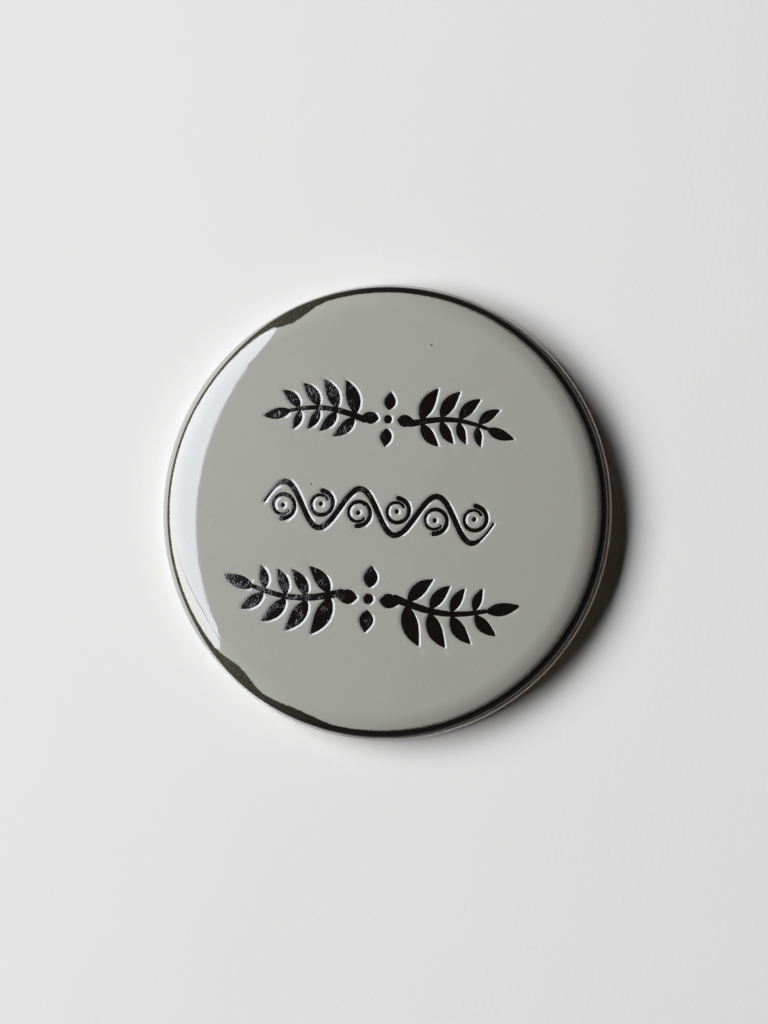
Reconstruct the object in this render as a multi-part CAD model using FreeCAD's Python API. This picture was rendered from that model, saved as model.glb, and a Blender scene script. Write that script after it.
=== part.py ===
import FreeCAD, Part
import math
import os

# Pin-back button badge of the 58 mm size. It lies face up: +Z is the way the face looks, +X is the
# right-hand side of the printed artwork and Z = 0 is the plane that the back plate's rim rests on.
#
# Front, from the outside in: a clear film, a printed paper disc and a tinplate shell, pressed together
# over the same form and turned in at the foot. Back: a pressed tinplate plate whose rim channel grips
# that foot, with two lanced bridges that hold a spring wire pin.

os.makedirs("parts", exist_ok=True)

Vector = FreeCAD.Vector
ORIGIN = Vector(0, 0, 0)
X_AXIS = Vector(1, 0, 0)
Y_AXIS = Vector(0, 1, 0)
Z_AXIS = Vector(0, 0, 1)


def sine(degrees):
    return math.sin(math.radians(degrees))


def cosine(degrees):
    return math.cos(math.radians(degrees))


# Sheet thicknesses, mm
FILM = 0.08
PAPER = 0.15
SHELL = 0.25
PLATE = 0.35

# The pressed front, measured on the outside of the film
SKIRT_RADIUS = 28.70        # widest radius, at the skirt
FACE_EDGE_SLOPE = 4.4       # degrees: slope of the domed face where the shoulder starts
SHOULDER_RADIUS = 5.5       # roll of the shoulder
CORNER_SLOPE = 35.0         # degrees: slope where the shoulder turns into the corner
CORNER_RADIUS = 1.2         # roll of the corner, down to the upright skirt
SKIRT_HEIGHT = 1.80
FOOT_RADIUS = 0.80          # roll that turns the foot in, under the skirt
FOOT_RUN = 0.35             # flat run of the foot past its roll

# The back plate, measured on the side that shows from behind
LIP_GAP = 0.07              # between the skirt and the foot of the rim lip
LIP_HEIGHT = 1.75           # top of the rim lip above the rest plane
LIP_LEAN = 7.0              # degrees: the lip is crimped in against the skirt
CHANNEL_SLACK = 0.25        # between the end of the foot and the first bend inside it
CHANNEL_BEND = 0.70         # bends at the inner side of the rim channel
CHANNEL_SLOPE = 60.0        # degrees
STEP_BEND = 1.10            # bends of the step up to the recessed middle
STEP_SLOPE = 65.0           # degrees
LEDGE_HEIGHT = 1.00         # flat ledge between the channel and the step
RECESS_HEIGHT = 4.20        # flat middle that carries the pin
RECESS_RADIUS = 18.50       # flat part of that middle

# The pin: one spring wire with a fixed leg, a coil, a sharp needle and a hook that catches its tip
WIRE_RADIUS = 0.40
WIRE_GAP = 0.02             # between the wire and what holds it
SOCKET_GAP = 0.05           # between the coil's end and the round root of the needle
COIL_RADIUS = 0.90          # to the middle of the wire
COIL_TURNS = 1.5
COIL_WIDTH = 1.28           # along Y, between the wire's middle at the coil's two ends
COIL_X = -16.0
LEAD_RUN = 1.20             # straight wire past each end of the coil, still at the coil's slant
LEAD_BEND = 4.0             # radius of the easy bend from there to the line of X
NEEDLE_WALL_END = 8.0       # x where the needle starts to taper
NEEDLE_TIP_X = 14.6
NEEDLE_TIP_RADIUS = 0.03
HOOK_X = 12.2
HOOK_BEND = 0.70
OPENING_TILT = 40.0         # degrees from Z to the hinge axis that the needle opens about
HOOK_GAP = 0.16             # between the closed needle and the hook under it

# Lanced bridges over the fixed leg
BRIDGE_PLACES = (-9.0, 5.5)
BRIDGE_WIDTH = 3.0
BRIDGE_SLOPE = 55.0         # degrees
BRIDGE_BEND = 0.60

SHEETS = FILM + PAPER + SHELL
LEG_Z = RECESS_HEIGHT - WIRE_RADIUS - WIRE_GAP
NEEDLE_Z = LEG_Z - 2 * COIL_RADIUS
COIL_PITCH = COIL_WIDTH / COIL_TURNS
LEAD_ANGLE = math.degrees(math.atan(COIL_PITCH / (2 * math.pi * COIL_RADIUS)))
NEEDLE_Y = COIL_WIDTH / 2 + LEAD_RUN * sine(LEAD_ANGLE) + LEAD_BEND * (1 - cosine(LEAD_ANGLE))
LEG_Y = -NEEDLE_Y


def radial(u, v):
    """A profile point for a revolved piece: radius and height."""
    return Vector(u, 0, v)


def crosswise(u, v):
    """A profile point for a piece that is extruded along X: Y and height."""
    return Vector(0, u, v)


def outline(start, heading, moves, offset, place):
    """Edges of a chain of straight runs and tangent arcs, and the points where it starts and ends.

    start is on the line that the moves describe and heading is in degrees. A move is ("run", length)
    or ("turn", radius, degrees), where positive degrees turn right. The chain is drawn offset to the
    right of that line.
    """
    u = start[0] + offset * sine(heading)
    v = start[1] - offset * cosine(heading)
    first = place(u, v)
    edges = []
    for move in moves:
        if move[0] == "run":
            end_u = u + move[1] * cosine(heading)
            end_v = v + move[1] * sine(heading)
            edges.append(Part.makeLine(place(u, v), place(end_u, end_v)))
        else:
            side = math.copysign(1, move[2])
            radius = move[1] - side * offset
            centre_u = u + side * radius * sine(heading)
            centre_v = v - side * radius * cosine(heading)
            points = []
            for share in (0, 0.5, 1):
                turned = heading - share * move[2]
                points.append(place(centre_u - side * radius * sine(turned),
                                    centre_v + side * radius * cosine(turned)))
            edges.append(Part.Arc(*points).toShape())
            heading -= move[2]
            end_u = centre_u - side * radius * sine(heading)
            end_v = centre_v + side * radius * cosine(heading)
        u = end_u
        v = end_v
    return edges, first, place(u, v)


def sheet_section(start, heading, moves, near, far, place=radial, crown=None):
    """The face between two offsets of one outline: the cut through a bent sheet.

    Where the sheet's first edge is rounded, crown is the outermost point of that rounding.
    """
    near_edges, near_start, near_end = outline(start, heading, moves, near, place)
    far_edges, far_start, far_end = outline(start, heading, moves, far, place)
    first_cap = Part.makeLine(near_start, far_start)
    if crown is not None:
        first_cap = Part.Arc(near_start, crown, far_start).toShape()
    caps = [first_cap, Part.makeLine(near_end, far_end)]
    return Part.Face(Part.Wire(Part.__sortEdges__(near_edges + far_edges + caps)))


# ---- The pressed front: three sheets over one form ----

SHOULDER_TURN = CORNER_SLOPE - FACE_EDGE_SLOPE
CORNER_TURN = 90 - CORNER_SLOPE
SHOULDER_RUN = SHOULDER_RADIUS * (sine(CORNER_SLOPE) - sine(FACE_EDGE_SLOPE))
SHOULDER_DROP = SHOULDER_RADIUS * (cosine(FACE_EDGE_SLOPE) - cosine(CORNER_SLOPE))
CORNER_RUN = CORNER_RADIUS * (1 - sine(CORNER_SLOPE))
CORNER_DROP = CORNER_RADIUS * cosine(CORNER_SLOPE)
FACE_EDGE_RADIUS = SKIRT_RADIUS - CORNER_RUN - SHOULDER_RUN
FACE_EDGE_Z = PLATE + FOOT_RADIUS + SKIRT_HEIGHT + CORNER_DROP + SHOULDER_DROP
DOME_RADIUS = FACE_EDGE_RADIUS / sine(FACE_EDGE_SLOPE)
DOME_CENTRE = Vector(0, 0, FACE_EDGE_Z - DOME_RADIUS * cosine(FACE_EDGE_SLOPE))

SIDE_MOVES = [
    ("turn", SHOULDER_RADIUS, SHOULDER_TURN),
    ("turn", CORNER_RADIUS, CORNER_TURN),
    ("run", SKIRT_HEIGHT),
    ("turn", FOOT_RADIUS, 90),
    ("run", FOOT_RUN),
]


def pressed_sheet(near, far):
    """One sheet of the front: near and far are its two sides' depths below the outside of the film."""
    section = sheet_section((FACE_EDGE_RADIUS, FACE_EDGE_Z), -FACE_EDGE_SLOPE, SIDE_MOVES, near, far)
    side = section.revolve(ORIGIN, Z_AXIS, 360)
    # The domed face is a cap of a hollow ball, cut off by the cone on which the shoulder starts.
    ball = Part.makeSphere(DOME_RADIUS - near, DOME_CENTRE, X_AXIS)
    ball = ball.cut(Part.makeSphere(DOME_RADIUS - far, DOME_CENTRE, X_AXIS))
    height = 2 * DOME_RADIUS
    cone = Part.makeCone(0, height * sine(FACE_EDGE_SLOPE) / cosine(FACE_EDGE_SLOPE), height, DOME_CENTRE)
    return side.fuse(ball.common(cone)).Solids[0]


clear_film = pressed_sheet(0, FILM)
print_disc = pressed_sheet(FILM, FILM + PAPER)
front_shell = pressed_sheet(FILM + PAPER, SHEETS)


# ---- The back plate ----

def climb(height, bend, slope):
    """The straight slope between two equal bends that climb this height, and how far they reach across."""
    run = (height - 2 * bend * (1 - cosine(slope))) / sine(slope)
    return run, 2 * bend * sine(slope) + run * cosine(slope)


def plate_section():
    """The cut through the back plate, from the rounded edge of the rim's lip to the middle."""
    roll = FOOT_RADIUS + LIP_GAP + PLATE
    roll_centre = SKIRT_RADIUS - FOOT_RADIUS
    heading = LIP_LEAN - 90
    half = PLATE / 2
    lip_top = LIP_HEIGHT - half * (cosine(LIP_LEAN) - sine(LIP_LEAN))
    lip_run = (lip_top - roll - roll * sine(LIP_LEAN)) / cosine(LIP_LEAN)
    lip_start = (roll_centre + roll * cosine(LIP_LEAN) - lip_run * sine(LIP_LEAN), lip_top)
    crown = radial(lip_start[0] + half * (sine(heading) - cosine(heading)), LIP_HEIGHT)
    channel_run = FOOT_RUN + CHANNEL_SLACK
    ledge_climb, ledge_width = climb(LEDGE_HEIGHT, CHANNEL_BEND, CHANNEL_SLOPE)
    step_climb, step_width = climb(RECESS_HEIGHT - LEDGE_HEIGHT, STEP_BEND, STEP_SLOPE)
    ledge_run = roll_centre - channel_run - ledge_width - step_width - RECESS_RADIUS
    moves = [
        ("run", lip_run),
        ("turn", roll, 90 + LIP_LEAN),
        ("run", channel_run),
        ("turn", CHANNEL_BEND, CHANNEL_SLOPE),
        ("run", ledge_climb),
        ("turn", CHANNEL_BEND, -CHANNEL_SLOPE),
        ("run", ledge_run),
        ("turn", STEP_BEND, STEP_SLOPE),
        ("run", step_climb),
        ("turn", STEP_BEND, -STEP_SLOPE),
        ("run", RECESS_RADIUS),
    ]
    return sheet_section(lip_start, heading, moves, 0, PLATE, crown=crown)


def bridge_solid(x):
    """The strip that is slit free of the plate and pushed out round the fixed leg."""
    hold = WIRE_RADIUS + WIRE_GAP
    drop = RECESS_HEIGHT + PLATE - (LEG_Z - hold)
    run = (drop - (BRIDGE_BEND + hold) * (1 - cosine(BRIDGE_SLOPE))) / sine(BRIDGE_SLOPE)
    span = (BRIDGE_BEND + hold) * sine(BRIDGE_SLOPE) + run * cosine(BRIDGE_SLOPE)
    moves = [
        ("turn", BRIDGE_BEND, BRIDGE_SLOPE),
        ("run", run),
        ("turn", hold, -2 * BRIDGE_SLOPE),
        ("run", run),
        ("turn", BRIDGE_BEND, BRIDGE_SLOPE),
    ]
    foot_y = LEG_Y - span
    section = sheet_section((foot_y, RECESS_HEIGHT + PLATE), 0, moves, 0, PLATE, crosswise)
    strip = section.extrude(X_AXIS * BRIDGE_WIDTH)
    strip.translate(X_AXIS * x)
    # The window that the strip leaves is cut right through the plate, from half a sheet below it.
    window = Part.makeBox(BRIDGE_WIDTH, 2 * span, 2 * PLATE, Vector(x, foot_y, RECESS_HEIGHT - PLATE / 2))
    return strip, window


back_plate = plate_section().revolve(ORIGIN, Z_AXIS, 360)
for place_x in BRIDGE_PLACES:
    strip, window = bridge_solid(place_x)
    back_plate = back_plate.cut(window).fuse(strip)
back_plate = back_plate.removeSplitter().Solids[0]


# ---- The pin ----

def rod(start, end, radius=WIRE_RADIUS):
    return Part.makeCylinder(radius, start.distanceToPoint(end), start, end - start)


def bend(corner, before, after, radius):
    """A quarter of a ring of wire that joins two runs at a right angle, and where it meets each run."""
    start = corner - before * radius
    end = corner + after * radius
    centre = start + after * radius
    section = Part.Face(Part.Wire(Part.makeCircle(WIRE_RADIUS, start, before)))
    return section.revolve(centre, before.cross(after), 90), start, end


def coil_solid():
    """The spring coil, wound about Y, from the end of the fixed leg to the root of the needle."""
    # A left-hand helix about Z from +X, laid over onto Y so that it leaves its top towards -X.
    path = Part.makeHelix(COIL_PITCH, COIL_WIDTH, COIL_RADIUS, 0, True)
    along = Vector(0, -2 * math.pi * COIL_RADIUS, COIL_PITCH)
    section = Part.Wire(Part.makeCircle(WIRE_RADIUS, Vector(COIL_RADIUS, 0, 0), along))
    coil = path.makePipeShell([section], True, True)
    coil.rotate(ORIGIN, Z_AXIS, -90)
    coil.rotate(ORIGIN, X_AXIS, -90)
    coil.translate(Vector(COIL_X, -COIL_WIDTH / 2, LEG_Z - COIL_RADIUS))
    return coil


def lead(side, z):
    """The wire from one end of the coil until it runs along X, and where it does so.

    side is the sign of Y on which it lies, and z is its height.
    """
    start = Vector(COIL_X, side * COIL_WIDTH / 2, z)
    slant = Vector(cosine(LEAD_ANGLE), side * sine(LEAD_ANGLE), 0)
    bend_start = start + slant * LEAD_RUN
    centre = bend_start + Vector(sine(LEAD_ANGLE), -side * cosine(LEAD_ANGLE), 0) * LEAD_BEND
    section = Part.Face(Part.Wire(Part.makeCircle(WIRE_RADIUS, bend_start, slant)))
    eased = section.revolve(centre, Z_AXIS * -side, LEAD_ANGLE)
    root = Part.makeSphere(WIRE_RADIUS, start, X_AXIS)
    return [root, rod(start, bend_start), eased], centre + Y_AXIS * (side * LEAD_BEND)


def needle_radius(x):
    """Radius of the needle where it tapers to its tip."""
    share = (x - NEEDLE_WALL_END) / (NEEDLE_TIP_X - NEEDLE_WALL_END)
    return WIRE_RADIUS + share * (NEEDLE_TIP_RADIUS - WIRE_RADIUS)


def pin_needle_solid():
    """The sharp leg, from its round root in the coil's end to its tip."""
    (root, *eased), wall_start = lead(1, NEEDLE_Z)
    wall_end = Vector(NEEDLE_WALL_END, NEEDLE_Y, NEEDLE_Z)
    taper = Part.makeCone(WIRE_RADIUS, NEEDLE_TIP_RADIUS, NEEDLE_TIP_X - NEEDLE_WALL_END, wall_end, X_AXIS)
    return root.fuse([*eased, rod(wall_start, wall_end), taper])


def pin_wire_solid():
    """The fixed leg with its coil at one end and its hook at the other."""
    # The opening needle moves along a slanting line in the Y-Z plane. The hook's round end stops
    # just short of that line, so that the needle can be drawn out past it.
    reach = needle_radius(HOOK_X - WIRE_RADIUS) + WIRE_RADIUS
    drop = reach + HOOK_GAP
    lip = (drop * cosine(OPENING_TILT) - reach - WIRE_GAP) / sine(OPENING_TILT)
    hook_end = Vector(HOOK_X, NEEDLE_Y + lip, NEEDLE_Z - drop)
    upper, leg_end, drop_start = bend(Vector(HOOK_X, LEG_Y, LEG_Z), X_AXIS, -Z_AXIS, HOOK_BEND)
    lower, drop_end, lip_start = bend(Vector(HOOK_X, LEG_Y, hook_end.z), -Z_AXIS, Y_AXIS, HOOK_BEND)
    eased, leg_start = lead(-1, LEG_Z)
    wire = coil_solid().fuse([
        *eased,
        rod(leg_start, leg_end),
        upper,
        rod(drop_start, drop_end),
        lower,
        rod(lip_start, hook_end),
        Part.makeSphere(WIRE_RADIUS, hook_end, Y_AXIS),
    ])
    pivot = Vector(COIL_X, COIL_WIDTH / 2, NEEDLE_Z)
    return wire.cut(Part.makeSphere(WIRE_RADIUS + SOCKET_GAP, pivot, X_AXIS))


PIECES = {
    "clear_film": clear_film,
    "print_disc": print_disc,
    "front_shell": front_shell,
    "back_plate": back_plate,
    "pin_wire": pin_wire_solid(),
    "pin_needle": pin_needle_solid(),
}
for name, shape in PIECES.items():
    solid = shape.Solids[0]
    print(name, len(shape.Solids), solid.isValid(), round(solid.Volume, 3), len(solid.Faces))
    solid.exportStep(f"parts/{name}.step")
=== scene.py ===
"""Looks for the pin-back button badge: pressed print under clear film, its ornament, tinplate and wire."""

import math

import bpy
import numpy as np
from mathutils import Matrix, Vector
from mathutils.geometry import delaunay_2d_cdt


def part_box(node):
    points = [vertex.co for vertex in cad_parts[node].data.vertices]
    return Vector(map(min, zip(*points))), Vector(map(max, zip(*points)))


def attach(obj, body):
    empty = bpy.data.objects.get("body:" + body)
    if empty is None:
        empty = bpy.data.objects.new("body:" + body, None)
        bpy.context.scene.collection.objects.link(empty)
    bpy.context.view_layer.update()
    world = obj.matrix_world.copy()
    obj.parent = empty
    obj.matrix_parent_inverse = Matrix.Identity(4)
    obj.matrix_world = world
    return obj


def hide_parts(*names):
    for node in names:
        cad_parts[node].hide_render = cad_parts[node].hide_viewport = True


MM = 0.001
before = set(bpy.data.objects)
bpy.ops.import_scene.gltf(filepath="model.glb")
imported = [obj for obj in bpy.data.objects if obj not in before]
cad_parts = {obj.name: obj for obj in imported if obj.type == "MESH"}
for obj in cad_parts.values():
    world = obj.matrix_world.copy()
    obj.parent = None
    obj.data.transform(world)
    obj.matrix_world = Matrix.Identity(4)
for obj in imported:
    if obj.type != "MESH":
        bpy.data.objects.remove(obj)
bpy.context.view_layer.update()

# The pressed front's outline, the same as the clear film's in the CAD model.
FILM_LOW, FILM_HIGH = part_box("clear_film")
SKIRT_RADIUS = FILM_HIGH.x
FACE_TOP = FILM_HIGH.z
FOOT_Z = FILM_LOW.z
FACE_EDGE_SLOPE = math.radians(4.4)
SHOULDER_RADIUS = 5.5 * MM
CORNER_SLOPE = math.radians(35.0)
CORNER_RADIUS = 1.2 * MM
FOOT_RADIUS = 0.80 * MM
FOOT_RUN = 0.35 * MM
LAYERS = 0.23 * MM                  # film and paper together

FACE_EDGE_RADIUS = (SKIRT_RADIUS - CORNER_RADIUS * (1 - math.sin(CORNER_SLOPE))
                    - SHOULDER_RADIUS * (math.sin(CORNER_SLOPE) - math.sin(FACE_EDGE_SLOPE)))
DOME_RADIUS = FACE_EDGE_RADIUS / math.sin(FACE_EDGE_SLOPE)
FACE_EDGE_Z = FACE_TOP - DOME_RADIUS * (1 - math.cos(FACE_EDGE_SLOPE))
SHOULDER_R = FACE_EDGE_RADIUS - SHOULDER_RADIUS * math.sin(FACE_EDGE_SLOPE)    # the shoulder arc's centre
SHOULDER_Z = FACE_EDGE_Z - SHOULDER_RADIUS * math.cos(FACE_EDGE_SLOPE)

# The face's mesh
ROUND_STEPS = 288                   # vertices round each ring
INNER_RADIUS = 21.5 * MM            # inside it the mesh follows the ornament, outside it is rings
GRID_STEP = 1.1 * MM

# The ornament, pressed into the face
PRESS_DEPTH = 0.11 * MM
PRESS_SHOULDER = 0.38 * MM          # width of the rounded wall round each mark
PRESS_UNDER = 0.08 * MM             # how far the wall runs on under the ink
INK_LIFT = 0.014 * MM               # top of the ink above the wall where they meet
INK_BED = 0.002 * MM                # gap between the ink and the film under it
LINE_POINTS = 60                    # along each stem, wave and curl
LEAF_STEPS = 40
LEAF_TIP = 0.10                     # mm across
DOT_SIDES = 40
CURL_TURNS = 1.15
OUTLINE_STEP = 0.13 * MM
WALL_RINGS = (-0.08, 0.06, 0.13, 0.20, 0.28, 0.38, 0.60)   # mm from a mark's outline
FINE_RINGS = 0.3                    # mm: nearer rings have a point for each of the outline's
MARK_REACH = 1.2 * MM               # marks farther away than this have no effect on a point

# A wrinkle in the film, on the shoulder
CREASE_AZIMUTHS = (190.0, 199.5, 208.5, 215.0, 226.0)     # degrees
CREASE_RADII = (27.1, 26.88, 26.31, 26.10, 26.30)         # mm from the badge's middle
CREASE_DEPTH = 0.030 * MM
CREASE_WIDTH = 0.10 * MM
CREASE_REACH = 2.4                  # its rings lie within this many widths of its bottom
CREASE_RINGS = 13
SHOULDER_RINGS = 8                  # rings on each side of the crease

# The print's black border. The print sits a little off centre, towards +X, so at -X both its edges are higher
# up the roll and the outer one shows.
INNER_EDGE_Z = 4.06 * MM
INNER_EDGE_LEAN = 0.16 * MM         # how much higher it is at -X
INNER_EDGE_WAVER = ((3.0 * MM, 3.0, 0.08 * MM), (0.35 * MM, 2.0, 0.12 * MM))   # noise size, detail, height
INNER_EDGE_RISES = ((-126.0, 10.0, 0.36 * MM), (-106.0, 11.0, 0.22 * MM),
                    (121.0, 11.5, 0.43 * MM))   # middle and half width in degrees, and height
INNER_EDGE_FADE_AND_SHADE = (0.06 * MM, 0.42 * MM)         # how far the black fades out, at the middle and at +X; the wide fade at +X is painted shade on the roll's shaded side
OUTER_EDGE_Z = 3.40 * MM
OUTER_EDGE_LEAN = 0.35 * MM         # how much higher it is at -X, and lower at +X
OUTER_EDGE_STEP = 0.40 * MM         # and higher again near -X
OUTER_EDGE_STEP_RANGE = (-0.45 * SKIRT_RADIUS, -0.85 * SKIRT_RADIUS)   # X where that rise starts and ends
OUTER_EDGE_SKEW = 0.10 * MM         # how much higher it is at +Y
OUTER_EDGE_FADE = 0.04 * MM
SHEEN_BLACK_RANGE = (-0.15 * SKIRT_RADIUS, -0.60 * SKIRT_RADIUS)        # X over which the black is painted lighter: painted sheen on the lit side
SPECKS = ((4.5, 21.4, 0.16), (-8.9, 2.4, 0.13))           # X, Y and radius in mm
DULL_Z = FOOT_Z + 3.50 * MM         # the film is dull below this
GLOSSY_Z = FOOT_Z + 3.75 * MM       # and glossy above this

# Camera, by its direction from the badge
CAMERA_TILT = math.radians(11.5)    # from the face's normal
CAMERA_SIDE = math.radians(-11.1)   # round Z from +X
ARTWORK_ROLL = math.radians(5.8)    # the artwork leans clockwise by this much
CAMERA_DISTANCE = 0.3433
CAMERA_LENS = 95.0
CAMERA_AIM = (0.28 * MM, -0.13 * MM, 3.0 * MM)   # to its right and upwards from the badge's middle, and in Z

# The window that is mirrored, and the light that shades the badge and casts its shadow
LIGHT_DISTANCE = 1.2
WINDOW_AZIMUTH = 175.1
WINDOW_MIDDLE = 1.78
WINDOW_SIZE = (2.02, 2.70)
WINDOW_POWER = 134.0
WINDOW_COLOUR = (0.83, 0.885, 1.0)
# Its outline, in shares of its height: 0 is its foot, and its sides are at -1 and 1.
WINDOW_TOP = 0.843                  # at the middle
WINDOW_TOP_SLANT = 0.08
WINDOW_TOP_BOW = 0.50
WINDOW_CORNER = 1.63                # the height of the corner's slanting line over the middle
WINDOW_CORNER_SLANT = -1.40
WINDOW_CORNER_ROUNDING = 0.10
WINDOW_FOOT_BOW = 0.11
WINDOW_FOOT_STRENGTH = 0.90
WINDOW_FOOT_COLOUR = (1.0, 0.90, 0.74)
WINDOW_TINT_SLANT = -0.25
WINDOW_TINT_RANGE = (-0.02, 0.12)   # heights between which the foot's colour fades out
KEY_AZIMUTH = 173.0
KEY_HEIGHT = 1.04
KEY_SIZE = (1.7, 0.82)
KEY_POWER = 42.4

FLOOR_REACH = 3.0                   # each way from the badge's middle

# The room: its strength for each sort of ray
ROOM_SEEN = 0.90                    # by the camera
ROOM_MIRRORED = (0.11, 0.12)        # at the horizon and higher up
ROOM_FILL = 0.004                   # on the floor and in the shadow
ROOM_TINT = (1.0, 0.61, 0.40, 1)
ROOM_MIRRORED_WHITENESS = 0.05
WHITE = (1, 1, 1, 1)


# ---------------------------------------------------------------- ornament outlines, as complex numbers in mm

def turn(angle):
    return complex(math.cos(angle), math.sin(angle))


def resampled(outline):
    """The closed outline with points at even steps."""
    closed = np.append(outline, outline[0])
    along = np.concatenate([[0], np.cumsum(np.abs(np.diff(closed)))])
    count = max(12, int(round(along[-1] / (OUTLINE_STEP / MM))))
    at = np.linspace(0, along[-1], count, endpoint=False)
    return np.interp(at, along, closed.real) + 1j * np.interp(at, along, closed.imag)


def stroke(line, width):
    """A stroke of varying width along a line of points, with round ends."""
    tangent = np.gradient(line)
    tangent /= np.abs(tangent)
    half = np.broadcast_to(width, line.shape) / 2
    left = line + 1j * tangent * half
    right = line - 1j * tangent * half
    sweep = np.linspace(0.5, -0.5, 9)[1:-1] * math.pi
    end = line[-1] + half[-1] * tangent[-1] * np.exp(1j * sweep)
    start = line[0] - half[0] * tangent[0] * np.exp(1j * sweep)
    return resampled(np.concatenate([left, end, right[::-1], start]))


def leaf(base, heading, length, width, bow=0.35):
    """A pointed leaf that starts at base, and bows to its left as it goes."""
    share = np.linspace(0, 1, LEAF_STEPS + 1)
    angle = heading + bow * (share - 0.5)
    step = length / LEAF_STEPS
    line = base + np.concatenate([[0], np.cumsum(np.exp(1j * angle[:-1]) * step)])
    widths = width * np.sin(math.pi * share ** 0.85) ** 0.9 + LEAF_TIP
    return stroke(line, widths)


def dot(centre, radius):
    around = np.linspace(0, 1, DOT_SIDES, endpoint=False)
    return resampled(centre + radius * np.exp(2j * math.pi * around))


def mirrored(outlines):
    return [-np.conj(o[::-1]) for o in outlines]


def sprig(centre, reach, rise, leaves, leaf_size, stem_width):
    """Half a spray: a stem that arches out from the middle, with leaves in pairs and one at its end.

    The leaves on the hollow side of the arch are shorter and stand more upright, so that they keep apart.
    """
    share = np.linspace(0, 1, LINE_POINTS)
    stem = centre + (0.10 + 0.90 * share) * reach + 1j * rise * np.sin(math.pi * share * 0.9)
    marks = [stroke(stem, stem_width * (1 - 0.45 * share))]
    heading = np.angle(np.gradient(stem))
    for n in range(leaves):
        spot = int(round((0.14 + 0.74 * n / (leaves - 1)) * (LINE_POINTS - 1)))
        shrink = 1 - 0.30 * n / (leaves - 1)
        length, width = leaf_size[0] * shrink, leaf_size[1] * shrink
        for side in (1, -1):
            hollow = side * rise < 0
            lean = heading[spot] + side * math.radians(62 if hollow else 52)
            base = stem[spot] + side * 1j * turn(heading[spot]) * stem_width * 0.2
            size = 0.80 if hollow else 1.0
            marks.append(leaf(base, lean, length * size, width * size, -side * 0.5))
    marks.append(leaf(stem[-1], heading[-1], leaf_size[0] * 0.8, leaf_size[1] * 0.75, 0.2))
    return marks


def bud(centre, size):
    """A small flower of four petals round a dot."""
    marks = [dot(centre, 0.16 * size)]
    for n in range(4):
        out = turn(math.pi / 2 * n)
        marks.append(leaf(centre + 0.34 * size * out, math.pi / 2 * n, 0.66 * size, 0.42 * size, 0))
    return marks


def scroll(centre, waves, length, height, width):
    """A thin running wave with a curl and a berry in each bay."""
    share = np.linspace(0, 1, LINE_POINTS * waves)
    line = centre + length * (share - 0.5) + 0.5j * height * np.sin(2 * math.pi * waves * share)
    marks = [stroke(line, width * np.clip(12 * np.minimum(share, 1 - share), 0.45, 1))]
    bay = length / waves / 2
    for n in range(2 * waves):
        side = -1 if n % 2 else 1
        middle = centre + bay * (n + 0.5) - length / 2 - 0.06j * side * height
        turns = np.linspace(0, CURL_TURNS, LINE_POINTS)
        radius = bay * (0.34 - 0.13 * turns / CURL_TURNS)
        curl = middle + radius * np.exp(1j * (-side * math.pi / 2 + side * 2 * math.pi * turns))
        marks.append(stroke(curl, width * (0.85 - 0.35 * turns / CURL_TURNS)))
        marks.append(dot(middle, 0.42 * width))
    return marks


def ornament():
    """Every mark on the face: a spray, a scroll and a larger spray, one above the other."""
    upper = sprig(1.9 + 11.2j, reach=10.8, rise=1.0, leaves=4, leaf_size=(4.6, 1.75), stem_width=0.85)
    lower = sprig(2.2 - 10.9j, reach=12.8, rise=-1.2, leaves=4, leaf_size=(5.4, 2.05), stem_width=1.00)
    marks = upper + mirrored(upper) + lower + mirrored(lower)
    marks += bud(11.5j, 3.5) + bud(-11.3j, 4.2)
    marks += scroll(-0.3j, waves=3, length=29.6, height=5.4, width=0.74)
    return [mark * MM for mark in marks]


# ---------------------------------------------------------------- the face's surface

def distance_to(marks, points):
    """Signed distance from each point to the nearest mark's outline, negative inside a mark."""
    nearest = np.full(points.shape, np.inf)
    inside = np.zeros(points.shape, bool)
    for mark in marks:
        low = complex(mark.real.min() - MARK_REACH, mark.imag.min() - MARK_REACH)
        high = complex(mark.real.max() + MARK_REACH, mark.imag.max() + MARK_REACH)
        close = ((points.real > low.real) & (points.real < high.real)
                 & (points.imag > low.imag) & (points.imag < high.imag))
        if not close.any():
            continue
        spot = points[close][:, None]
        start = mark[None, :]
        side = np.roll(mark, -1)[None, :] - start
        share = ((spot - start) * np.conj(side)).real / np.abs(side) ** 2
        gap = np.abs(spot - start - np.clip(share, 0, 1) * side).min(1)
        rises = (start.imag > spot.imag) != (np.roll(mark, -1)[None, :].imag > spot.imag)
        level = np.where(side.imag == 0, 1, side.imag)
        crossing = start.real + (spot.imag - start.imag) * side.real / level
        nearest[close] = np.minimum(nearest[close], gap)
        inside[close] |= (rises & (spot.real < crossing)).sum(1) % 2 == 1
    return np.where(inside, -nearest, nearest)


def pressed(marks, points):
    """How far the face is pressed in at each point."""
    gap = distance_to(marks, points)
    share = np.clip((PRESS_SHOULDER - gap) / (PRESS_SHOULDER + PRESS_UNDER), 0, 1)
    return PRESS_DEPTH * share ** 2


def dome_height(points):
    return FACE_TOP - DOME_RADIUS + np.sqrt(DOME_RADIUS ** 2 - np.abs(points) ** 2)


def face_height(marks, points):
    return dome_height(points) - pressed(marks, points)


def face_normals(marks, points):
    step = 0.02 * MM
    across = face_height(marks, points + step) - face_height(marks, points - step)
    upward = face_height(marks, points + 1j * step) - face_height(marks, points - 1j * step)
    normal = np.stack([-across, -upward, np.full(points.shape, 2 * step)], 1)
    return normal / np.linalg.norm(normal, axis=1)[:, None]


def mark_normals(mark):
    along = np.roll(mark, -1) - np.roll(mark, 1)
    area = (mark.real * np.roll(mark, -1).imag - np.roll(mark, -1).real * mark.imag).sum()
    outward = -1j if area > 0 else 1j
    return outward * along / np.abs(along)


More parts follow.
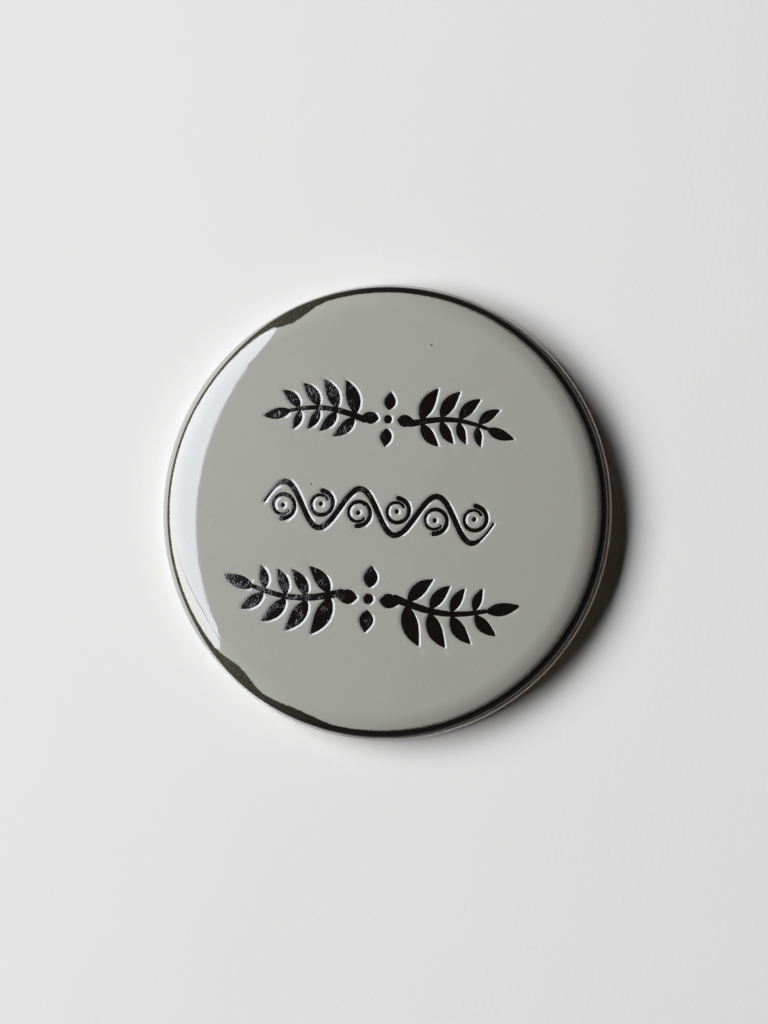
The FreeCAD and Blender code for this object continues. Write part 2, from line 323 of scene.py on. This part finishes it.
def triangulated(marks):
    """Points and triangles of the face's middle. Every mark's outline is a chain of edges."""
    points = []
    edges = []
    ring = INNER_RADIUS * np.exp(2j * math.pi * np.arange(ROUND_STEPS) / ROUND_STEPS)
    for loop in [ring] + marks:
        first = len(points)
        points += list(loop)
        edges += [(first + n, first + (n + 1) % len(loop)) for n in range(len(loop))]
    free = []
    for mark in marks:
        outward = mark_normals(mark)
        for offset in WALL_RINGS:
            step = 1 if offset < FINE_RINGS else 2
            spots = mark[::step] + offset * MM * outward[::step]
            gaps = distance_to(marks, spots)
            free.append(spots[np.abs(gaps - offset * MM) < 0.02 * MM])
    count = int(INNER_RADIUS / GRID_STEP)
    for n in range(count):
        radius = n * GRID_STEP
        around = max(1, int(2 * math.pi * radius / GRID_STEP))
        spots = radius * np.exp(2j * math.pi * (np.arange(around) + 0.5 * (n % 2)) / around)
        free.append(spots[distance_to(marks, spots) > GRID_STEP])
    points += list(np.concatenate(free))
    # The triangulation works in mm, because its tolerance is an absolute one.
    flat = [(p.real / MM, p.imag / MM) for p in points]
    found, _, triangles, _, _, _ = delaunay_2d_cdt([Vector(p) for p in flat], edges, [], 1, 1e-5)
    return np.array([complex(*p) for p in found]) * MM, np.array([list(t) for t in triangles])


def creased_shoulder():
    """Rings down the shoulder, drawn together and pressed in where the wrinkle in the film crosses it."""
    azimuth = 2 * math.pi * np.arange(ROUND_STEPS) / ROUND_STEPS
    degrees = np.degrees(azimuth)
    crease_r = np.interp(degrees, CREASE_AZIMUTHS, CREASE_RADII) * MM
    crease_slope = np.arcsin((crease_r - SHOULDER_R) / SHOULDER_RADIUS)
    share = np.clip((degrees - CREASE_AZIMUTHS[0]) / (CREASE_AZIMUTHS[-1] - CREASE_AZIMUTHS[0]), 0, 1)
    depth = CREASE_DEPTH * np.sin(math.pi * share) ** 0.7
    width = CREASE_WIDTH / SHOULDER_RADIUS
    offsets = np.linspace(-CREASE_REACH, CREASE_REACH, CREASE_RINGS) * width
    spaced = np.linspace(0, 1, SHOULDER_RINGS)[:, None]
    first = FACE_EDGE_SLOPE + spaced[:-1] * (crease_slope + offsets[0] - FACE_EDGE_SLOPE)
    last = crease_slope + offsets[-1] + spaced[1:] * (CORNER_SLOPE - crease_slope - offsets[-1])
    slope = np.concatenate([first, crease_slope + offsets[:, None], last])
    pressed_in = depth * np.exp(-((slope - crease_slope) / width) ** 2)
    steepness = -2 * (slope - crease_slope) / width ** 2 * pressed_in
    radius = SHOULDER_RADIUS - pressed_in
    turned = slope + np.arctan2(steepness, radius)
    around = [np.cos(azimuth), np.sin(azimuth)]
    r = SHOULDER_R + radius * np.sin(slope)
    z = SHOULDER_Z + radius * np.cos(slope)
    points = np.stack([r * around[0], r * around[1], z], 2)
    normals = np.stack([np.sin(turned) * around[0], np.sin(turned) * around[1], np.cos(turned)], 2)
    return points.reshape(-1, 3), normals.reshape(-1, 3)


def side_outline(inset):
    """Radius, height and outward normal down the rolled side, moved inwards by inset."""
    rows = []

    def arc(centre_r, centre_z, radius, start, end, steps):
        for angle in np.linspace(start, end, steps):
            normal = (math.sin(angle), math.cos(angle))
            rows.append((centre_r + radius * normal[0], centre_z + radius * normal[1], *normal))

    start = math.asin(INNER_RADIUS / DOME_RADIUS)
    arc(0, FACE_TOP - DOME_RADIUS, DOME_RADIUS - inset, start, FACE_EDGE_SLOPE, steps=7)
    arc(SHOULDER_R, SHOULDER_Z, SHOULDER_RADIUS - inset, FACE_EDGE_SLOPE, CORNER_SLOPE, steps=15)
    corner_r = SKIRT_RADIUS - CORNER_RADIUS
    corner_z = SHOULDER_Z + (SHOULDER_RADIUS - CORNER_RADIUS) * math.cos(CORNER_SLOPE)
    arc(corner_r, corner_z, CORNER_RADIUS - inset, CORNER_SLOPE, math.pi / 2, steps=13)
    foot_r = SKIRT_RADIUS - FOOT_RADIUS
    arc(foot_r, FOOT_Z + FOOT_RADIUS, FOOT_RADIUS - inset, math.pi / 2, math.pi, steps=9)
    rows.append((foot_r - FOOT_RUN, FOOT_Z + inset, 0, -1))
    kept = [rows[0]]
    for row in rows[1:]:
        if math.hypot(row[0] - kept[-1][0], row[1] - kept[-1][1]) > 1e-7:
            kept.append(row)
    return np.array(kept)


def ringed(rows):
    """Points and normals of rows of the roll's outline, turned into rings about Z."""
    around = 2 * math.pi * np.arange(ROUND_STEPS) / ROUND_STEPS
    spread = np.stack([np.cos(around), np.sin(around), np.ones(ROUND_STEPS)], 1)
    points = rows[:, None, [0, 0, 1]] * spread[None]
    normals = rows[:, None, [2, 2, 3]] * spread[None]
    return points.reshape(-1, 3), normals.reshape(-1, 3)


def strip_faces(first, second, flip=False):
    """Quads between two rings, each given by the number of its first vertex."""
    faces = []
    for n in range(ROUND_STEPS):
        after = (n + 1) % ROUND_STEPS
        quad = (first + n, second + n, second + after, first + after)
        faces.append(quad[::-1] if flip else quad)
    return faces


def new_mesh(name, points, faces, normals=None):
    mesh = bpy.data.meshes.new(name)
    mesh.from_pydata([tuple(p) for p in points], [], [tuple(int(i) for i in f) for f in faces])
    mesh.validate()
    for polygon in mesh.polygons:
        polygon.use_smooth = True
    if normals is not None:
        mesh.normals_split_custom_set_from_vertices([tuple(n) for n in normals])
    piece = bpy.data.objects.new(name, mesh)
    bpy.context.scene.collection.objects.link(piece)
    return piece


def make_face(marks, flat, triangles):
    """The print under its film, as one closed sheet: pressed face, rolled side, turned-in foot, inside."""
    height = face_height(marks, flat)
    top = np.stack([flat.real, flat.imag, height], 1)
    top_normals = face_normals(marks, flat)
    # The middle's own outer ring is its first vertices, so the side starts at its second row.
    rows = side_outline(0)
    upright = rows[:, 3]
    on_shoulder = (upright < math.cos(FACE_EDGE_SLOPE) - 1e-6) & (upright > math.cos(CORNER_SLOPE) + 1e-6)
    # The crease's rings take the place of the shoulder's, and of the row at each end of it.
    dome = rows[1:np.argmax(on_shoulder) - 1]
    corner = rows[len(rows) - np.argmax(on_shoulder[::-1]) + 1:]
    bands = [ringed(dome), creased_shoulder(), ringed(corner)]
    outer, outer_normals = [np.concatenate(parts) for parts in zip(*bands)]
    inner, inner_normals = ringed(side_outline(LAYERS))
    outer_rings = len(outer) // ROUND_STEPS
    inner_rings = len(inner) // ROUND_STEPS
    middle = np.array([[0, 0, FACE_TOP - LAYERS]])
    points = np.concatenate([top, outer, inner, middle])
    normals = np.concatenate([top_normals, outer_normals, -inner_normals, [[0, 0, -1]]])
    faces = [tuple(t) for t in triangles]
    outer_first = len(top)
    inner_first = outer_first + len(outer)
    faces += strip_faces(0, outer_first)
    for n in range(outer_rings - 1):
        first = outer_first + n * ROUND_STEPS
        faces += strip_faces(first, first + ROUND_STEPS)
    for n in range(inner_rings - 1):
        first = inner_first + n * ROUND_STEPS
        faces += strip_faces(first, first + ROUND_STEPS, flip=True)
    faces += strip_faces(inner_first - ROUND_STEPS, len(points) - 1 - ROUND_STEPS)
    for n in range(ROUND_STEPS):
        faces.append((len(points) - 1, inner_first + (n + 1) % ROUND_STEPS, inner_first + n))
    return points, faces, normals


def make_ink(marks, flat, triangles):
    """The black in the pressed marks: thin closed islands on the same triangles as the face under them."""
    middles = flat[triangles].mean(1)
    inked = triangles[distance_to(marks, middles) < 0]
    used, local = np.unique(inked, return_inverse=True)
    local = local.reshape(inked.shape)
    spots = flat[used]
    edge_height = dome_height(spots) - PRESS_DEPTH * (PRESS_SHOULDER / (PRESS_SHOULDER + PRESS_UNDER)) ** 2
    top = np.stack([spots.real, spots.imag, edge_height + INK_LIFT], 1)
    bed = np.stack([spots.real, spots.imag, face_height(marks, spots) + INK_BED], 1)
    count = len(spots)
    faces = [tuple(t) for t in local] + [tuple(t[::-1] + count) for t in local]
    sides = {}
    for t in local:
        for a, b in ((t[0], t[1]), (t[1], t[2]), (t[2], t[0])):
            sides[(a, b)] = sides.get((a, b), 0) + 1
    for a, b in sides:
        if (b, a) not in sides:
            faces.append((b, a, a + count, b + count))
    return np.concatenate([top, bed]), faces


# ---------------------------------------------------------------- materials

class Tree:
    """A node tree, with short calls for the nodes used here."""

    def __init__(self, tree):
        self.tree = tree

    def node(self, kind, inputs=None, **settings):
        made = self.tree.nodes.new(kind)
        for name, value in settings.items():
            setattr(made, name, value)
        for name, value in (inputs or {}).items():
            self.feed(made.inputs[name], value)
        return made

    def feed(self, socket, value):
        if isinstance(value, bpy.types.NodeSocket):
            self.tree.links.new(value, socket)
        else:
            socket.default_value = value

    def math(self, operation, *values):
        return self.node("ShaderNodeMath", dict(enumerate(values)), operation=operation).outputs[0]

    def ramp(self, value, low, high, to_low=0.0, to_high=1.0, kind="LINEAR"):
        made = self.node("ShaderNodeMapRange", {"Value": value, "From Min": low, "From Max": high,
                                                "To Min": to_low, "To Max": to_high}, interpolation_type=kind)
        return made.outputs["Result"]

    def between(self, share, first, second):
        return self.node("ShaderNodeMix", {0: share, 2: first, 3: second}).outputs[0]

    def mix(self, share, first, second):
        return self.node("ShaderNodeMix", {0: share, 6: first, 7: second}, data_type="RGBA").outputs[2]


class Paint(Tree):
    """A material's node tree, in the piece's own coordinates."""

    def __init__(self, name):
        self.material = bpy.data.materials.new(name)
        self.material.use_nodes = True
        super().__init__(self.material.node_tree)
        self.shader = self.tree.nodes["Principled BSDF"]
        self.place = self.node("ShaderNodeTexCoord").outputs["Object"]

    def noise(self, size, detail=2.0, roughness=0.5, stretch=(1, 1, 1)):
        """Noise whose features are about size metres across, drawn out by stretch."""
        scaled = self.node("ShaderNodeMapping", {"Vector": self.place,
                                                 "Scale": tuple(1 / s for s in stretch)})
        made = self.node("ShaderNodeTexNoise", {"Vector": scaled.outputs[0], "Scale": 1 / size,
                                                "Detail": detail, "Roughness": roughness})
        return made.outputs["Fac"]

    def bump(self, height, depth, after=None):
        inputs = {"Height": height, "Distance": depth, "Strength": 1.0}
        if after is not None:
            inputs["Normal"] = after
        return self.node("ShaderNodeBump", inputs).outputs[0]

    def finish(self, **sockets):
        for name, value in sockets.items():
            self.feed(self.shader.inputs[name.replace("_", " ")], value)
        return self.material


def border_share(paint, x, y, z):
    """How much of the print's colour is the border's black, with painted shade towards +X, where the black
    fades far into the grey.
    """
    around = paint.math("ARCTAN2", y, x)
    inner_edge = paint.math("MULTIPLY_ADD", x, -INNER_EDGE_LEAN / SKIRT_RADIUS, INNER_EDGE_Z)
    for size, detail, height in INNER_EDGE_WAVER:
        inner_edge = paint.math("MULTIPLY_ADD", paint.noise(size, detail), height, inner_edge)
    for middle, spread, rise in INNER_EDGE_RISES:
        off = paint.math("ABSOLUTE", paint.math("SUBTRACT", around, math.radians(middle)))
        share = paint.ramp(off, 0.0, math.radians(spread), rise, 0.0, "SMOOTHSTEP")
        inner_edge = paint.math("ADD", inner_edge, share)
    outer_edge = paint.math("MULTIPLY_ADD", x, -OUTER_EDGE_LEAN / SKIRT_RADIUS, OUTER_EDGE_Z)
    step = paint.ramp(x, *OUTER_EDGE_STEP_RANGE, 0.0, OUTER_EDGE_STEP, "SMOOTHSTEP")
    outer_edge = paint.math("ADD", outer_edge, step)
    outer_edge = paint.math("MULTIPLY_ADD", y, OUTER_EDGE_SKEW / SKIRT_RADIUS, outer_edge)
    # Towards +X the black fades out much further: painted shade on the side of the roll away from the lamps.
    fade = paint.ramp(x, 0.0, SKIRT_RADIUS, *INNER_EDGE_FADE_AND_SHADE)
    depth = paint.math("DIVIDE", paint.math("SUBTRACT", inner_edge, z), fade)
    height = paint.math("SUBTRACT", z, outer_edge)
    # Full black up to a fifth of the fade below the inner edge, and none from a whole fade above it.
    return paint.math("MULTIPLY", paint.ramp(depth, -1.0, 0.2),
                      paint.ramp(height, -OUTER_EDGE_FADE, OUTER_EDGE_FADE))


def print_grey(paint):
    """Grey with a soft mottle and two dark specks."""
    grey = paint.mix(paint.noise(6.0 * MM, 4.0), (0.392, 0.394, 0.368, 1), (0.420, 0.420, 0.394, 1))
    grain = paint.ramp(paint.noise(0.26 * MM, 3.0, 0.7), 0.3, 0.7)
    grey = paint.mix(paint.math("MULTIPLY", grain, 0.24), grey, (0.30, 0.30, 0.28, 1))
    flat = paint.node("ShaderNodeVectorMath", {0: paint.place, 1: (1, 1, 0)}, operation="MULTIPLY").outputs[0]
    for x, y, radius in SPECKS:
        here = paint.node("ShaderNodeVectorMath", {0: (x * MM, y * MM, 0), 1: flat}, operation="DISTANCE")
        speck = paint.ramp(here.outputs["Value"], radius * MM, 0.6 * radius * MM)
        grey = paint.mix(speck, grey, (0.05, 0.045, 0.04, 1))
    return grey


def print_black(paint, x):
    """Black that gets lighter and blotchy towards -X: blotchy print, and painted sheen on the side the lamps
    light.
    """
    # The blotches are the print's own; the lighter black towards -X is painted sheen on the lit side.
    blotches = paint.ramp(paint.noise(0.22 * MM, 2.0), 0.35, 0.65)
    blotchy_sheen_black = paint.mix(blotches, (0.020, 0.019, 0.015, 1), (0.080, 0.074, 0.058, 1))
    sheen_share = paint.ramp(x, *SHEEN_BLACK_RANGE)
    return paint.mix(sheen_share, (0.006, 0.006, 0.005, 1), blotchy_sheen_black)


def print_material():
    """Grey print with a black border on the roll, under clear glossy film."""
    paint = Paint("print_under_film")
    x, y, z = paint.node("ShaderNodeSeparateXYZ", {"Vector": paint.place}).outputs
    colour = paint.mix(border_share(paint, x, y, z), print_grey(paint), print_black(paint, x))
    fibre = paint.bump(paint.noise(0.20 * MM, 2.0, 0.6), 0.0040 * MM)
    film_wave = paint.bump(paint.noise(5.0 * MM, 1.0), 0.0010 * MM)
    peel = paint.bump(paint.noise(0.30 * MM, 1.0), 0.0003 * MM, film_wave)
    # The film is dulled where it is drawn tight round the corner.
    gloss = paint.ramp(z, DULL_Z, GLOSSY_Z, 0.05, 1.0)
    return paint.finish(Base_Color=colour, Roughness=0.6, Specular_IOR_Level=0.05, Normal=fibre,
                        Coat_Weight=gloss, Coat_Roughness=0.02, Coat_IOR=1.6, Coat_Normal=peel)


def ink_material():
    """Glossy black with a fine uneven skin."""
    paint = Paint("black_ink")
    patches = paint.ramp(paint.noise(1.2 * MM, 2.0), 0.40, 0.70)
    grains = paint.math("MULTIPLY", paint.noise(0.20 * MM, 1.0), patches)
    skin = paint.bump(grains, 0.042 * MM)
    tone = paint.mix(paint.noise(1.2 * MM, 3.0), (0.0015, 0.0015, 0.0015, 1), (0.004, 0.004, 0.0045, 1))
    return paint.finish(Base_Color=tone, Roughness=0.10, IOR=1.5, Normal=skin)


def tinplate_material(name, tone, roughness):
    """Bright tinplate: rolling grain along X, faint blotches and handling marks."""
    paint = Paint(name)
    grain = paint.noise(0.05 * MM, 3.0, 0.6, (60, 1, 1))
    blotch = paint.noise(5.0 * MM, 4.0, 0.6)
    darker = tuple(0.82 * c for c in tone)
    colour = paint.mix(paint.ramp(blotch, 0.35, 0.7), (*darker, 1), (*tone, 1))
    rolled = paint.ramp(grain, 0.3, 0.7, -0.06, 0.06)
    handled = paint.ramp(blotch, 0.3, 0.7, -0.04, 0.04)
    rough = paint.math("ADD", paint.math("ADD", rolled, handled), roughness)
    scuff = paint.bump(grain, 0.0012 * MM, paint.bump(paint.noise(4.0 * MM, 2.0), 0.02 * MM))
    return paint.finish(Base_Color=colour, Metallic=1.0, Roughness=rough, Normal=scuff)


def wire_material():
    """Nickel-plated spring wire with fine drawing lines along it."""
    paint = Paint("spring_wire")
    lines = paint.noise(0.04 * MM, 3.0, 0.6, (80, 1, 1))
    colour = paint.mix(paint.noise(3.0 * MM, 3.0), (0.62, 0.61, 0.59, 1), (0.76, 0.75, 0.73, 1))
    rough = paint.ramp(lines, 0.3, 0.7, 0.14, 0.26)
    return paint.finish(Base_Color=colour, Metallic=1.0, Roughness=rough,
                        Normal=paint.bump(lines, 0.003 * MM))


# ---------------------------------------------------------------- building

def dress(piece, material):
    piece.data.materials.clear()
    piece.data.materials.append(material)


marks = ornament()
flat, triangles = triangulated(marks)
face = new_mesh("printed_face", *make_face(marks, flat, triangles))
dress(face, print_material())
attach(face, "badge")
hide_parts("clear_film", "print_disc")

ink = new_mesh("ink_ornament", *make_ink(marks, flat, triangles))
dress(ink, ink_material())
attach(ink, "badge")

dress(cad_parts["front_shell"], tinplate_material("tinplate_inside", (0.60, 0.59, 0.56), 0.38))
dress(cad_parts["back_plate"], tinplate_material("tinplate_back", (0.74, 0.73, 0.70), 0.40))
wire = wire_material()
dress(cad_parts["pin_wire"], wire)
dress(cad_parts["pin_needle"], wire)


# ---------------------------------------------------------------- studio

def make_floor():
    corners = [(-1, -1), (1, -1), (1, 1), (-1, 1)]
    floor = new_mesh("floor", [(x * FLOOR_REACH, y * FLOOR_REACH, 0) for x, y in corners], [(0, 1, 2, 3)])
    paint = Paint("floor_paper")
    tone = paint.mix(paint.noise(40 * MM, 3.0), (0.80, 0.80, 0.80, 1), (0.83, 0.83, 0.83, 1))
    fibre = paint.bump(paint.noise(0.6 * MM, 4.0, 0.6), 0.02 * MM)
    dress(floor, paint.finish(Base_Color=tone, Roughness=0.75, Specular_IOR_Level=0.0, Normal=fibre))


def make_world():
    """A dim warm room, pale where the camera sees it, and lighter in mirrors than as a fill."""
    world = bpy.data.worlds.new("studio")
    bpy.context.scene.world = world
    world.use_nodes = True
    room = Tree(world.node_tree)
    ray = room.node("ShaderNodeLightPath").outputs
    direction = room.node("ShaderNodeTexCoord").outputs["Generated"]
    height = room.node("ShaderNodeSeparateXYZ", {0: direction}).outputs["Z"]
    mirrored = room.ramp(height, 0.0, 0.6, *ROOM_MIRRORED)
    shared = room.between(ray["Is Glossy Ray"], ROOM_FILL, mirrored)
    strength = room.between(ray["Is Camera Ray"], shared, ROOM_SEEN)
    mirrored_white = room.math("MULTIPLY", ray["Is Glossy Ray"], ROOM_MIRRORED_WHITENESS)
    whiteness = room.math("MAXIMUM", ray["Is Camera Ray"], mirrored_white)
    background = world.node_tree.nodes["Background"]
    room.feed(background.inputs["Strength"], strength)
    room.feed(background.inputs["Color"], room.mix(whiteness, ROOM_TINT, WHITE))


def make_light(name, place, target, size, power, colour=(1, 1, 1)):
    data = bpy.data.lights.new(name, "AREA")
    data.shape = "RECTANGLE"
    data.size, data.size_y = size
    data.energy = power
    data.color = colour
    light = bpy.data.objects.new(name, data)
    bpy.context.scene.collection.objects.link(light)
    light.location = place
    light.rotation_euler = (Vector(target) - Vector(place)).to_track_quat("-Z", "Y").to_euler()
    return light


def shape_window(light):
    """Gives the window slanting corners and a bowed top and foot, and tints and dims it towards its foot."""
    light.data.use_nodes = True
    pane = Tree(light.data.node_tree)
    spot = pane.node("ShaderNodeNewGeometry").outputs["Parametric"]
    share, height, _ = pane.node("ShaderNodeSeparateXYZ", {0: spot}).outputs
    across = pane.math("MULTIPLY_ADD", share, 2.0, -1.0)
    out = pane.math("ABSOLUTE", across)
    bow = pane.math("POWER", out, 2.0)
    level = pane.math("MULTIPLY_ADD", across, WINDOW_TOP_SLANT, WINDOW_TOP)
    hung = pane.math("MULTIPLY_ADD", bow, WINDOW_TOP_BOW, level)
    corner = pane.math("MULTIPLY_ADD", out, WINDOW_CORNER_SLANT, WINDOW_CORNER)
    top = pane.math("SMOOTH_MIN", hung, corner, WINDOW_CORNER_ROUNDING)
    foot = pane.math("MULTIPLY", bow, WINDOW_FOOT_BOW)
    below = pane.math("LESS_THAN", height, top)
    above = pane.math("GREATER_THAN", height, foot)
    inside = pane.math("MULTIPLY", below, above)
    fade = pane.ramp(height, 0.0, 1.0, WINDOW_FOOT_STRENGTH, 1.0)
    lean = pane.math("MULTIPLY_ADD", across, WINDOW_TINT_SLANT, height)
    tint = pane.mix(pane.ramp(lean, *WINDOW_TINT_RANGE), (*WINDOW_FOOT_COLOUR, 1), WHITE)
    emission = light.data.node_tree.nodes["Emission"]
    pane.feed(emission.inputs["Color"], tint)
    pane.feed(emission.inputs["Strength"], pane.math("MULTIPLY", fade, inside))


def place_round(azimuth, distance, height):
    angle = math.radians(azimuth)
    return distance * math.cos(angle), distance * math.sin(angle), height


def make_lights():
    """The window is only mirrored. The key light isn't, and gives the shading and the shadow."""
    window = make_light("window", place_round(WINDOW_AZIMUTH, LIGHT_DISTANCE, WINDOW_MIDDLE),
                        (0, 0, WINDOW_MIDDLE), WINDOW_SIZE, WINDOW_POWER, WINDOW_COLOUR)
    shape_window(window)
    window.visible_diffuse = False
    key = make_light("key", place_round(KEY_AZIMUTH, LIGHT_DISTANCE, KEY_HEIGHT), (0, 0, 0),
                     KEY_SIZE, KEY_POWER)
    key.visible_glossy = False


def make_camera():
    """The camera, by its direction from the badge and the lean of the artwork in its picture."""
    toward = Vector((math.sin(CAMERA_TILT) * math.cos(CAMERA_SIDE),
                     math.sin(CAMERA_TILT) * math.sin(CAMERA_SIDE), math.cos(CAMERA_TILT)))
    level = (Vector((1, 0, 0)) - toward * toward.x).normalized()
    upward = toward.cross(level)
    right = level * math.cos(ARTWORK_ROLL) + upward * math.sin(ARTWORK_ROLL)
    above = toward.cross(right)
    target = right * CAMERA_AIM[0] + above * CAMERA_AIM[1] + Vector((0, 0, CAMERA_AIM[2]))
    data = bpy.data.cameras.new("camera")
    data.lens = CAMERA_LENS
    data.sensor_width = 36
    data.clip_start = 0.01
    camera = bpy.data.objects.new("camera", data)
    bpy.context.scene.collection.objects.link(camera)
    turned = Matrix((right, above, toward)).transposed().to_4x4()
    camera.matrix_world = Matrix.Translation(target + toward * CAMERA_DISTANCE) @ turned
    bpy.context.scene.camera = camera


make_floor()
make_world()
make_lights()
make_camera()
bpy.context.scene.view_settings.view_transform = "Standard"
